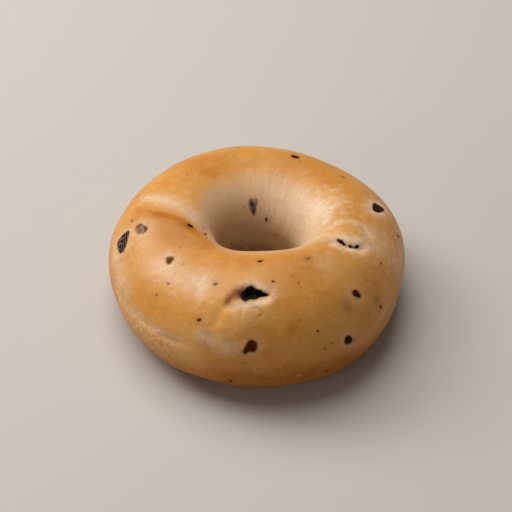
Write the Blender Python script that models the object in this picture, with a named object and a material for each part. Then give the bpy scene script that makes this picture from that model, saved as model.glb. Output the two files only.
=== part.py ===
"""A cranberry bagel: a ring of baked dough with an open hole, folds where the roll of dough was
joined, and pieces of fruit set in its crust.

Metres, +Z up. The bagel lies on its flat base at Z = 0, centred on the origin, with its front
towards -Y. A place on the crust is given in degrees by its bearing round the ring, anticlockwise
from +X (the front is 270), and its roll round the tube of dough: 0 on the outer wall, 90 on the
crest, 180 in the hole and 270 under the base.
"""

import math
from collections import namedtuple

import bpy
import numpy as np
from mathutils import Matrix, Vector, noise

# The ring, whose axis is a little off the middle of the bagel's box, which is the origin. A swell
# is (waves round the ring, amplitude, bearing of a high side).
RING_CENTRE_X = 0.0005
RING_CENTRE_Y = -0.0012
OUTER_RADIUS = 0.0551
OUTER_SWELLS = ((1, 0.0008, 120), (2, 0.0005, -23), (4, 0.0003, 14), (5, 0.0005, 23))
CREST_RADIUS = 0.0312
CREST_SWELLS = ((1, 0.0054, 70), (2, 0.0014, -72))
HOLE_RADIUS = 0.0133
HOLE_SWELLS = ((1, 0.0011, 86), (2, 0.0018, -13))
HEIGHT = 0.0392
HEIGHT_SWELLS = ((1, 0.0030, -79), (2, 0.0016, -49), (3, 0.0007, 37))

# The tube's section: quarters of superellipses that meet at the crest, at the belly on the outer
# wall and at the waist in the hole. The lower ones are cut flat, where they would reach below the
# base by this share of their height.
BELLY_SHARE = 0.454
WAIST_SHARE = 0.50
UPPER_SQUARENESS = 1.92
HOLE_SQUARENESS = 2.24
HOLE_SQUARENESS_SWELLS = ((1, 0.35, -158),)
LOWER_SQUARENESS = 2.6
FLATTENED_SHARE = 0.17
UNEVENNESS = 0.0004
UNEVEN_SCALE = 0.016
SMOOTH_NEAR_BASE = 0.005

# The mesh that the crust is shaped from.
RING_SEGMENTS = 120
TUBE_SEGMENTS = 40
BASE_SEGMENTS = 4

# Folds in the dough: a path of (bearing, roll), the groove's depth and half width, and the
# height and reach of the lip that swells beside it, on the left of the path if positive.
Crease = namedtuple("Crease", "path depth width lip reach")
CREASES = (
    Crease(((160, 32), (164, 62), (169, 80), (172, 92), (176, 102), (186, 115), (191, 126), (197, 140)),
           0.0014, 0.0036, -0.0006, 0.0050),
    Crease(((322, 104), (329, 96), (334, 88), (334, 80), (336, 71), (338, 65), (340, 59)),
           0.0009, 0.0018, 0.0003, 0.0040),
    Crease(((350, 118), (353, 102), (354, 87), (353, 76), (351, 67), (346, 62)),
           0.0004, 0.0018, 0.0002, 0.0040),
    Crease(((253, 55), (259, 60), (267, 64), (273, 64), (279, 63)), 0.0010, 0.0024, -0.0004, 0.0040),
    Crease(((256, 58), (253, 51), (252, 43), (251, 34)), 0.0003, 0.0018, 0.0001, 0.0040),
    Crease(((192, 10), (204, 10), (216, 13), (228, 16), (238, 17), (250, 15)),
           0.0003, 0.0022, -0.0002, 0.0045),
)
CREASE_SAMPLES = 48
CREASE_FADE = 0.22

# Low swellings of the crust: bearing, roll, height and radius.
Mound = namedtuple("Mound", "bearing roll height radius")
MOUNDS = (
    Mound(348, 84, 0.0008, 0.0055),
    Mound(266, 48, 0.0010, 0.0060),
    Mound(246, 52, 0.0005, 0.0045),
)

# Pieces of fruit in the crust, each in its own pocket: bearing, roll, the length and width that
# show, the turn of the length away from the ring's direction, how high it stands above the crust,
# and how much its ends narrow.
Fruit = namedtuple("Fruit", "bearing roll length width turn proud pointed")
FRUITS = {
    "front_berry": Fruit(267.6, 66.2, 0.0106, 0.0056, 3, 0.0008, 0.50),
    "left_berry": Fruit(184.5, 40.1, 0.0091, 0.0051, -31, 0.0006, 0.50),
    "left_fruit": Fruit(181.9, 58.4, 0.0056, 0.0032, 36, 0.0004, 0.15),
    "left_crumb": Fruit(210.5, 67.8, 0.0036, 0.0025, -10, 0.0004, 0.15),
    "low_front_fruit": Fruit(267.3, 23.2, 0.0055, 0.0039, 55, 0.0005, 0.15),
    "right_back_fruit": Fruit(13.6, 53.7, 0.0066, 0.0042, -55, 0.0006, 0.15),
    "back_top_fruit": Fruit(69.1, 76.0, 0.0034, 0.0028, 16, 0.0004, 0.15),
    "fold_fruit_inner": Fruit(334.3, 84.6, 0.0040, 0.0018, 70, 0.0005, 0.15),
    "fold_fruit_outer": Fruit(335.3, 73.3, 0.0040, 0.0019, -55, 0.0005, 0.15),
    "right_fruit": Fruit(316.1, 43.6, 0.0038, 0.0024, -57, 0.0005, 0.15),
    "low_right_fruit": Fruit(305.6, 10.0, 0.0042, 0.0030, -49, 0.0005, 0.15),
    "hole_fruit": Fruit(96.4, 144.3, 0.0068, 0.0024, -66, 0.0004, 0.30),
    "back_berry": Fruit(112, 24, 0.0082, 0.0050, 25, 0.0006, 0.40),
    "back_left_fruit": Fruit(140, 4, 0.0052, 0.0038, 60, 0.0005, 0.15),
    "back_right_fruit": Fruit(52, 10, 0.0060, 0.0040, -30, 0.0005, 0.20),
    "right_side_fruit": Fruit(8, -10, 0.0050, 0.0036, 45, 0.0005, 0.15),
}
FRUIT_DEPTH_SHARE = 0.45
FRUIT_WRINKLE = 0.12
FINE_FRUIT_LENGTH = 0.0075
POCKET_GAP = 0.0003

# Specks of fruit, smaller than the pieces above, which are part of the crust: bearing, roll, size.
SPECKS = (
    (271.7, 95.7, 0.0020), (305.9, 89.3, 0.0024), (278.5, 74.6, 0.0018), (245.1, 69.8, 0.0020),
    (244.4, 40.6, 0.0020), (324.1, 19.2, 0.0020), (259.4, 342.8, 0.0021), (296.6, 345.3, 0.0021),
    (184.8, 98.5, 0.0024), (189.7, 125.3, 0.0018), (173.9, 48.6, 0.0016), (77.9, 156.5, 0.0016),
    (39.0, 69.6, 0.0018), (2.3, 29.4, 0.0026), (120, 48, 0.0022), (88, 30, 0.0018),
    (150, 352, 0.0020), (30, 8, 0.0019), (20, 350, 0.0018), (70, 355, 0.0021),
)
SPECK_PROUD_SHARE = 0.18

CRUST_COLOUR = (0.62, 0.33, 0.12, 1.0)
FRUIT_COLOUR = (0.045, 0.012, 0.012, 1.0)


def swollen(mean, swells, bearing):
    """A size that varies round the ring. Bearings are in radians here and below."""
    total = mean + 0.0 * bearing
    for waves, amplitude, high in swells:
        total = total + amplitude * np.cos(waves * (bearing - math.radians(high)))
    return total


def smooth_point(bearing, roll):
    """Points of the ring without its folds, for arrays of bearings and rolls in radians."""
    outer = swollen(OUTER_RADIUS, OUTER_SWELLS, bearing)
    crest = swollen(CREST_RADIUS, CREST_SWELLS, bearing)
    hole = swollen(HOLE_RADIUS, HOLE_SWELLS, bearing)
    height = swollen(HEIGHT, HEIGHT_SWELLS, bearing)
    across, up = np.cos(roll), np.sin(roll)
    belly = height * np.where(across > 0, BELLY_SHARE, WAIST_SHARE)
    in_hole = swollen(HOLE_SQUARENESS, HOLE_SQUARENESS_SWELLS, bearing)
    upper = np.where(across > 0, UPPER_SQUARENESS, in_hole)
    power = 2 / np.where(up > 0, upper, LOWER_SQUARENESS)
    across = np.sign(across) * np.abs(across) ** power
    up = np.sign(up) * np.abs(up) ** power
    radius = crest + across * np.where(across > 0, outer - crest, crest - hole)
    level = belly + up * np.where(up > 0, height - belly, belly * (1 + FLATTENED_SHARE))
    return np.stack([RING_CENTRE_X + radius * np.cos(bearing),
                     RING_CENTRE_Y + radius * np.sin(bearing), level], axis=-1)


def smooth_normal(bearing, roll):
    step = 1e-3
    along = smooth_point(bearing + step, roll) - smooth_point(bearing - step, roll)
    around = smooth_point(bearing, roll + step) - smooth_point(bearing, roll - step)
    normal = np.cross(along, around)
    return normal / np.linalg.norm(normal, axis=-1, keepdims=True)


def smoothstep(low, high, value):
    t = np.clip((value - low) / (high - low), 0, 1)
    return t * t * (3 - 2 * t)


def curve_through(points, count):
    """A smooth curve (Catmull-Rom) through a few points, as count points along it."""
    points = np.asarray(points, float)
    padded = np.vstack([2 * points[0] - points[1], points, 2 * points[-1] - points[-2]])
    along = np.linspace(0, len(points) - 1, count)
    first = np.minimum(along.astype(int), len(points) - 2)
    t = (along - first)[:, None]
    a, b, c, d = (padded[first + k] for k in range(4))
    return 0.5 * (2 * b + (c - a) * t + (2 * a - 5 * b + 4 * c - d) * t**2
                  + (3 * b - a - 3 * c + d) * t**3)


def from_path(path, points, normals):
    """Each point's distance from a path, on which side it is, and how far along it lies."""
    path = np.radians(curve_through(path, CREASE_SAMPLES))
    line = smooth_point(path[:, 0], path[:, 1])
    heading = np.gradient(line, axis=0)
    heading /= np.linalg.norm(heading, axis=1, keepdims=True)
    away = points[:, None, :] - line[None, :, :]
    nearest = np.argmin((away**2).sum(axis=2), axis=1)
    away, heading = away[np.arange(len(points)), nearest], heading[nearest]
    ahead = np.einsum("ij,ij->i", away, heading)
    spacing = np.linalg.norm(line[1:] - line[:-1], axis=1).mean()
    share = np.clip((nearest + ahead / spacing) / (CREASE_SAMPLES - 1), 0, 1)
    beyond_ends = ((nearest == 0) & (ahead < 0)) | ((nearest == CREASE_SAMPLES - 1) & (ahead > 0))
    away = away - np.where(beyond_ends, 0, ahead)[:, None] * heading
    side = np.einsum("ij,ij->i", np.cross(normals, heading), away)
    return np.linalg.norm(away, axis=1), np.sign(side), share


def crease_relief(crease, points, normals):
    """How far one crease moves each point along its normal."""
    distance, side, share = from_path(crease.path, points, normals)
    fade = smoothstep(0, CREASE_FADE, share) * smoothstep(1, 1 - CREASE_FADE, share)
    groove = -crease.depth * np.exp(-((distance / crease.width) ** 2))
    beyond = (distance - 1.5 * crease.width) / crease.reach
    lip = np.where(side * crease.lip > 0, abs(crease.lip) * np.exp(-(beyond**2)), 0)
    lip *= smoothstep(0, 1.5 * crease.width, distance)
    return fade * (groove + lip)


def mound_relief(mound, points):
    centre = smooth_point(math.radians(mound.bearing), math.radians(mound.roll))
    distance = np.linalg.norm(points - centre, axis=1)
    return mound.height * np.exp(-((distance / mound.radius) ** 2))


def crust_point(bearing, roll):
    """Points of the crust, folds included, for one-dimensional arrays in radians."""
    points = smooth_point(bearing, roll)
    normals = smooth_normal(bearing, roll)
    relief = np.array([UNEVENNESS * noise.noise(Vector(p) / UNEVEN_SCALE) for p in points])
    for crease in CREASES:
        relief += crease_relief(crease, points, normals)
    for mound in MOUNDS:
        relief += mound_relief(mound, points)
    relief *= smoothstep(0, SMOOTH_NEAR_BASE, points[:, 2])
    points = points + normals * relief[:, None]
    points[:, 2] = np.maximum(points[:, 2], 0)
    return points


def crust_frame(bearing, roll, turn):
    """The place and axes of a piece on the crust: X along it, Z out of the crust."""
    nudge = math.radians(0.5)
    at = np.radians([[bearing, roll]] * 3) + [[0, 0], [nudge, 0], [0, nudge]]
    here, onward, upward = (Vector(p) for p in crust_point(at[:, 0], at[:, 1]))
    out = (onward - here).cross(upward - here).normalized()
    along = Matrix.Rotation(math.radians(turn), 3, out) @ (onward - here).normalized()
    axes = Matrix((along, out.cross(along), out)).transposed().to_4x4()
    return Matrix.Translation(here) @ axes


def even_rolls():
    """The roll of each point round the tube: one on each edge of the flat base, and the rest
    spaced evenly on the mean section, with only a few under the base."""
    edge = math.asin((1 + FLATTENED_SHARE) ** (-LOWER_SQUARENESS / 2))
    rolls = np.linspace(-edge, math.pi + edge, 2000)
    section = smooth_point(0 * rolls, rolls)
    travelled = np.concatenate([[0], np.cumsum(np.linalg.norm(np.diff(section, axis=0), axis=1))])
    wanted = np.linspace(0, travelled[-1], TUBE_SEGMENTS - BASE_SEGMENTS + 1)
    crust = np.interp(wanted, travelled, rolls)
    base = np.linspace(math.pi + edge, 2 * math.pi - edge, BASE_SEGMENTS + 1)[1:-1]
    return np.concatenate([crust, base])


def material(name, colour, roughness):
    made = bpy.data.materials.new(name)
    made.use_nodes = True
    shader = made.node_tree.nodes["Principled BSDF"]
    shader.inputs["Base Color"].default_value = colour
    shader.inputs["Roughness"].default_value = roughness
    shader.inputs["Metallic"].default_value = 0.0
    return made


def crust():
    """The dough: a torus whose points are moved to the bagel's form."""
    bpy.ops.mesh.primitive_torus_add(major_segments=RING_SEGMENTS, minor_segments=TUBE_SEGMENTS)
    bagel = bpy.context.object
    bagel.name = "bagel"
    rolls = even_rolls()
    mesh = bagel.data
    index = np.arange(len(mesh.vertices))
    bearing = 2 * math.pi * (index // TUBE_SEGMENTS) / RING_SEGMENTS
    points = crust_point(bearing, rolls[index % TUBE_SEGMENTS])
    mesh.vertices.foreach_set("co", points.astype(np.float32).ravel())
    mesh.update()
    mesh.shade_smooth()
    return bagel


def pebble(name, fruit, grown=0.0):
    """A wrinkled lump of fruit, widest at the crust's surface, with a low top and deeper root."""
    bpy.ops.mesh.primitive_ico_sphere_add(subdivisions=3 if fruit.length > FINE_FRUIT_LENGTH else 2,
                                          radius=1)
    lump = bpy.context.object
    lump.name = name
    seed = Vector((fruit.bearing, fruit.roll, fruit.turn))
    for vertex in lump.data.vertices:
        unit = vertex.co * (1 + FRUIT_WRINKLE * noise.noise(vertex.co * 1.7 + seed))
        height = fruit.proud if unit.z > 0 else fruit.width * FRUIT_DEPTH_SHARE
        narrowed = 1 - fruit.pointed * unit.x**2
        vertex.co = (unit.x * (fruit.length / 2 + grown),
                     unit.y * (fruit.width / 2 + grown) * narrowed,
                     unit.z * (height + grown))
    return lump


def collection(name):
    made = bpy.data.collections.new(name)
    bpy.context.scene.collection.children.link(made)
    return made


def move_to(obj, target):
    for held in obj.users_collection:
        held.objects.unlink(obj)
    target.objects.link(obj)


def boolean(obj, operation, tools):
    """One Boolean with everything in a collection, applied, after which the tools are removed."""
    modifier = obj.modifiers.new(operation.title(), "BOOLEAN")
    modifier.operation = operation
    modifier.operand_type = "COLLECTION"
    modifier.collection = tools
    modifier.solver = "EXACT"
    bpy.context.view_layer.objects.active = obj
    bpy.ops.object.modifier_apply(modifier=modifier.name)
    for tool in list(tools.objects):
        bpy.data.objects.remove(tool)
    bpy.data.collections.remove(tools)


def fruit_pieces(fruit_material):
    """Every piece of fruit, and a slightly larger copy of each that cuts its pocket."""
    cutters = collection("pockets")
    for name, fruit in FRUITS.items():
        place = crust_frame(fruit.bearing, fruit.roll, fruit.turn)
        piece = pebble(name, fruit)
        piece.matrix_world = place
        piece.data.materials.append(fruit_material)
        piece.data.shade_smooth()
        cutter = pebble(name + "_pocket", fruit, POCKET_GAP)
        cutter.matrix_world = place
        move_to(cutter, cutters)
    return cutters


def specks():
    """Small bits of fruit that stand a little out of the crust."""
    grains = collection("specks")
    for bearing, roll, size in SPECKS:
        bpy.ops.mesh.primitive_ico_sphere_add(subdivisions=1, radius=size / 2)
        grain = bpy.context.object
        rise = size * (SPECK_PROUD_SHARE - 0.5)
        grain.matrix_world = crust_frame(bearing, roll, 0) @ Matrix.Translation((0, 0, rise))
        move_to(grain, grains)
    return grains


def main():
    for obj in list(bpy.data.objects):
        bpy.data.objects.remove(obj)
    bagel = crust()
    bagel.data.materials.append(material("crust", CRUST_COLOUR, 0.5))
    cutters = fruit_pieces(material("fruit", FRUIT_COLOUR, 0.35))
    bpy.context.view_layer.update()
    boolean(bagel, "UNION", specks())
    boolean(bagel, "DIFFERENCE", cutters)


main()
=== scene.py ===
"""Looks of the cranberry bagel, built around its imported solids: crust, folds, fruit and light.

Metres, in the frame of the solids. A place on the crust is given in degrees by its bearing round
the ring, anticlockwise from +X (the front is 270), and its roll round the tube of dough: 0 on the
outer wall, 90 on the crest, 180 in the hole and 270 under the base.
"""

import math
import random
from collections import namedtuple

import bmesh
import bpy
import numpy as np
from mathutils import Matrix, Vector, noise
from mathutils.bvhtree import BVHTree
from mathutils.kdtree import KDTree


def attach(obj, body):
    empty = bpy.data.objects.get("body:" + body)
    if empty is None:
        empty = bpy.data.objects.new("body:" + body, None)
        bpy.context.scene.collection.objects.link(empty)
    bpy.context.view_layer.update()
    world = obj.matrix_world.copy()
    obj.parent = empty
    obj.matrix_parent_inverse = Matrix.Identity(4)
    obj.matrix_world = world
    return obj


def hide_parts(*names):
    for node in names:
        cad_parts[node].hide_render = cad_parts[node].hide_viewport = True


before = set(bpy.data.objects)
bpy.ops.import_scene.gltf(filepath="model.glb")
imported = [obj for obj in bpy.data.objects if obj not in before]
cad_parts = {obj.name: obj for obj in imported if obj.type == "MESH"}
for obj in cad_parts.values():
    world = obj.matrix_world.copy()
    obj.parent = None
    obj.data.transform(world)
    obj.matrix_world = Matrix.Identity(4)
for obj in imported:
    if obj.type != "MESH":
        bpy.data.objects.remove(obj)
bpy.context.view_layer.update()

MM = 0.001

# The form, as in the solids.
RING_CENTRE_X = 0.0005
RING_CENTRE_Y = -0.0012
OUTER_RADIUS = 0.0551
OUTER_SWELLS = ((1, 0.0008, 120), (2, 0.0005, -23), (4, 0.0003, 14), (5, 0.0005, 23))
CREST_RADIUS = 0.0312
CREST_SWELLS = ((1, 0.0054, 70), (2, 0.0014, -72))
HOLE_RADIUS = 0.0133
HOLE_SWELLS = ((1, 0.0011, 86), (2, 0.0018, -13))
HEIGHT = 0.0392
HEIGHT_SWELLS = ((1, 0.0030, -79), (2, 0.0016, -49), (3, 0.0007, 37))
BELLY_SHARE = 0.454
WAIST_SHARE = 0.5
UPPER_SQUARENESS = 1.92
HOLE_SQUARENESS = 2.24
HOLE_SQUARENESS_SWELLS = ((1, 0.35, -158),)
LOWER_SQUARENESS = 2.6
FLATTENED_SHARE = 0.17
UNEVENNESS = 0.0004
UNEVEN_SCALE = 0.016
SMOOTH_NEAR_BASE = 0.005

Crease = namedtuple("Crease", "path depth width lip reach")
CREASES = (
    Crease(((160, 32), (164, 62), (169, 80), (172, 92), (176, 102), (186, 115), (191, 126), (197, 140)),
           0.0014, 0.0036, -0.0006, 0.005),
    Crease(((322, 104), (329, 96), (334, 88), (334, 80), (336, 71), (338, 65), (340, 59)),
           0.0009, 0.0018, 0.0003, 0.004),
    Crease(((350, 118), (353, 102), (354, 87), (353, 76), (351, 67), (346, 62)),
           0.0004, 0.0018, 0.0002, 0.004),
    Crease(((253, 55), (259, 60), (267, 64), (273, 64), (279, 63)), 0.001, 0.0024, -0.0004, 0.004),
    Crease(((256, 58), (253, 51), (252, 43), (251, 34)), 0.0003, 0.0018, 0.0001, 0.004),
    Crease(((192, 10), (204, 10), (216, 13), (228, 16), (238, 17), (250, 15)),
           0.0003, 0.0022, -0.0002, 0.0045),
)
CREASE_SAMPLES = 48
CREASE_FADE = 0.22

# Finer lines in the folds, which the solids leave out.
LEFT_FOLD = ((166, 44), (168, 55), (169, 66), (170, 76), (174, 87), (179, 101), (187, 122))
FINE_CREASES = (
    Crease(LEFT_FOLD, 0.00045, 0.0008, 0, 0.002),
    Crease(((262, 56), (262.9, 52), (262.6, 49), (263.7, 45)), 0.0002, 0.0006, 0, 0.002),
    Crease(((266, 53), (269.6, 54), (271.6, 51.5), (271.8, 49), (269, 47)), 0.0002, 0.0006, 0, 0.002),
)

Mound = namedtuple("Mound", "bearing roll height radius")
MOUNDS = (
    Mound(348, 84, 0.0008, 0.0055),
    Mound(266, 48, 0.001, 0.006),
    Mound(246, 52, 0.0005, 0.0045),
)

# The crust's mesh: an even grid, halved in size near folds and fruit, and again at the fruit.
SEAM_BEARING = 82
RING_COLUMNS = 300
TUBE_ROWS = 140
BASE_ROWS = 8
SECTION_SAMPLES = 4000
WELD_DISTANCE = 2e-6
FOLD_REFINED = 0.003
FRUIT_REFINED = 0.0018

# Pieces of fruit. Outline and recess are in millimetres, with X along the ring and Y up the roll.
# The halo is how pale the crust is round the piece.
Fruit = namedtuple("Fruit", "bearing roll outline look recess halo")
FRUITS = {
    "front_berry": Fruit(267, 66.2, (
        (-4.2, -1.4), (-4.2, -0.4), (-3.4, 0.6), (-2.5, 1.4), (-1.9, 2.3), (-0.8, 2.7), (0, 2.4),
        (0.9, 1.7), (1.8, 1.3), (2.8, 1.1), (3.7, 0.4), (4.7, 0.1), (5.9, -0.5), (5, -1),
        (3.9, -1.2), (2.7, -1.3), (1.8, -1.9), (0.6, -2.3), (-0.7, -2.1), (-1.5, -2.5), (-2.3, -3.1),
        (-3.5, -2.4)), "slit_berry", 0.3, 0.5),
    "left_berry": Fruit(183.6, 39.7, (
        (-3.4, 3), (-1.4, 2.4), (0.5, 1.5), (2.3, 0.6), (3.5, -0.7), (4, -2.7), (1.7, -3.7),
        (-0.8, -4.1), (-2.9, -4), (-3.2, -2.4), (-4, -0.9), (-4, 1.1)), "ribbed_berry", 0.05, 0.4),
    "left_fruit": Fruit(181.8, 58.5, (
        (-1.6, -2.6), (-2.5, -1.9), (-2.5, -0.8), (-2.4, -0.1), (-1, 0.7), (-0.2, 1.6), (0.8, 2.1),
        (1.5, 1.5), (2, 1), (1.9, -0.1), (1.4, -1.3), (0.2, -2.3)), "violet_fruit", 0, 0.3),
    "left_crumb": Fruit(210.6, 67.6, (
        (-2.3, 0), (-1.8, 0.7), (-1.2, 1.4), (-0.5, 2), (0.3, 1.3), (0.7, 0.4), (1.1, -0.5),
        (0.6, -1.3), (-0.3, -1.3), (-1.4, -0.7)), "brown_fruit", 0, 0.35),
    "low_front_fruit": Fruit(267.1, 21.8, (
        (0.3, 3.5), (1.3, 2.8), (2.1, 2.2), (2.3, 1.3), (1.9, 0), (1.4, -1), (0, -0.9),
        (-1.1, -1.1), (-1.5, -1.8), (-2.4, -1.5), (-2.5, -0.7), (-1.9, 0.6), (-1.2, 1.7), (-0.5, 2.9)),
        "red_fruit", 0.05, 0.2),
    "right_back_fruit": Fruit(13.9, 53.9, (
        (1.6, 1.7), (2.6, 0.3), (2.2, -0.9), (1.9, -2.4), (1.6, -3.8), (-0.2, -2.9), (-1.8, -1.2),
        (-3.1, 0.6), (-3.5, 2), (-3.1, 3.1), (-1.5, 3), (0.5, 2.3)), "dark_fruit", 0.05, 0.8),
    "back_top_fruit": Fruit(69, 75.2, (
        (1.9, 0.7), (1.8, -0.6), (0.8, -0.7), (-0.4, -0.5), (-1.4, 0.3), (-1.2, 1.1), (-0.3, 1.3),
        (0.8, 1.3), (1.5, 1.3)), "red_fruit", 0, 0.1),
    "fold_fruit_inner": Fruit(334.8, 84.9, (
        (1.1, 2), (1.5, 1.4), (1.3, 0.9), (1.6, 0.5), (1.7, 0), (1.3, -0.3), (1.2, -0.9),
        (0.9, -1.3), (0.6, -2), (0.2, -2.1), (0.2, -1.5), (-0.1, -1.1), (0.3, -0.5), (0, 0),
        (0.2, 0.6), (0.5, 0.9), (0.3, 1.5), (0.7, 1.7)), "black_fruit", 0.12, 0.6),
    "fold_fruit_outer": Fruit(335.8, 73.5, (
        (0.3, 1.9), (0.5, 1.4), (0.1, 0.9), (0.4, 0.3), (0.9, 0), (1.5, -0.4), (2.2, -0.7),
        (2.4, -1.4), (2, -1.8), (1.3, -1.6), (0.7, -0.8), (0.2, 0.1), (-0.4, 0.8), (-0.5, 1.3)),
        "parted_fruit", 0.1, 0.8),
    "right_fruit": Fruit(316, 42.9, (
        (-0.3, 1.9), (0.7, 1.5), (0.9, 0.8), (1, -0.1), (1.2, -1), (0.5, -1.4), (-0.1, -0.9),
        (-0.9, -0.2), (-1.5, 0.7), (-1.4, 1.5), (-0.9, 1.9)), "dark_fruit", 0.05, 0.2),
    "low_right_fruit": Fruit(305.2, 9.6, (
        (-1.1, 2.3), (-0.1, 2.5), (0.9, 1.9), (1.6, 0.7), (1.6, -0.8), (1.1, -1.4), (0, -1.1),
        (-1.4, -0.3), (-1.7, 0.2), (-1.5, 1.1)), "dark_fruit", 0.05, 0.25),
    "hole_fruit": Fruit(96.8, 144.5, (
        (1.4, -2), (1, -2.7), (-0.1, -2.6), (-1.2, -2.8), (-1.3, -1.5), (-1, 0), (-1.1, 1.5),
        (-0.8, 3.1), (-0.3, 2.9), (0.1, 1.7), (0.8, 1), (1.3, -0.5)), "smoky_fruit", -0.02, 0),
    "back_berry": Fruit(112, 24, (
        (-4.1, -1.6), (-1, -2.4), (2.6, -1), (4, 1.6), (1.2, 2.4), (-2.2, 1.2)),
        "ribbed_berry", 0.05, 0.5),
    "back_left_fruit": Fruit(140, 4, (
        (-1.6, -2), (1, -2.4), (2.1, 0.2), (0.8, 2.4), (-1.2, 1.8)), "red_fruit", 0.05, 0.3),
    "back_right_fruit": Fruit(52, 10, (
        (-2.8, 1.4), (-2.2, -1), (0.4, -2.1), (2.9, -1.5), (2, 0.9), (-0.2, 2.2)),
        "dark_fruit", 0.05, 0.6),
    "right_side_fruit": Fruit(8, -10, (
        (-1.8, -1.6), (0.6, -2.1), (2.2, 0.4), (1.4, 2.2), (-1.2, 1.4)), "red_fruit", 0.05, 0.3),
}

# How outlines are drawn, the pockets that the pieces sit in, and their stains on the crust.
OUTLINE_POINTS = 72
OUTLINE_RAGGED = 0.00014
RAGGED_SCALE = 0.0011
CORNER_CUT = 0.14
POCKET_DEPTH = 0.001
POCKET_EDGE = 0.00004
POCKET_WALL = 0.0003
HALO_REACH = 0.0028
HALO_CLOUDS = 0.0016
JUICE = 0.8
JUICE_REACH = 0.0005
SPECK_STAIN = 0.35
SPECK_STAIN_REACH = 0.6

# Specks of fruit that show: bearing, roll and turn in degrees, length and width in millimetres.
Speck = namedtuple("Speck", "bearing roll length width turn look")
SPECKS = (
    Speck(271.7, 95.7, 2.6, 1.4, 0, "red_fruit"),
    Speck(305.9, 89.3, 2.6, 1.5, 4, "veiled_fruit"),
    Speck(278.5, 74.6, 1.6, 1.2, -26, "brown_fruit"),
    Speck(245.1, 69.8, 2, 1.2, 48, "veiled_fruit"),
    Speck(244.4, 40.6, 2.5, 1.6, 35, "brown_fruit"),
    Speck(324.4, 19, 2.3, 1.4, -63, "brown_fruit"),
    Speck(259.4, 342.8, 2.3, 1.5, 85, "red_fruit"),
    Speck(296.6, 345.3, 2.4, 1.4, -44, "red_fruit"),
    Speck(184.8, 98.5, 2.9, 3.4, -34, "black_fruit"),
    Speck(189.7, 125.3, 2.7, 1.3, -70, "red_fruit"),
    Speck(307.9, 6.9, 1.6, 0.5, 80, "brown_fruit"),
    Speck(173.9, 48.6, 2, 0.8, 50, "brown_fruit"),
    Speck(77.9, 157, 2.6, 0.9, -78, "red_fruit"),
    Speck(39, 69.6, 2.2, 0.9, 62, "red_fruit"),
    Speck(2.3, 29.4, 3.2, 1.9, -47, "veiled_fruit"),
    Speck(221, 54.8, 1.2, 0.7, -8, "brown_fruit"),
    Speck(220, 42.4, 1.4, 0.7, -10, "brown_fruit"),
    Speck(338.3, 44.9, 1.2, 0.9, -50, "brown_fruit"),
    Speck(293.7, 29.6, 1.2, 0.9, -31, "red_fruit"),
    Speck(298.4, 15.5, 1.2, 0.8, -11, "brown_fruit"),
    Speck(295.2, 12.3, 1.2, 0.8, -29, "veiled_fruit"),
    Speck(292.1, 70.1, 1, 0.7, 0, "veiled_fruit"),
    Speck(137.9, 83.6, 0.9, 0.6, 0, "veiled_fruit"),
)

# Specks strewn over the sides that the photo doesn't show.
HIDDEN_SPECKS = 26
SPECK_SEED = 5
HIDDEN_BEARINGS = (15, 165)
HIDDEN_ROLLS = (-35, 42)
HIDDEN_LENGTHS = (0.8, 2.4)
HIDDEN_WIDTHS = (0.6, 1.4)
HIDDEN_LOOKS = ("red_fruit", "brown_fruit", "dark_fruit", "veiled_fruit")

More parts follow.
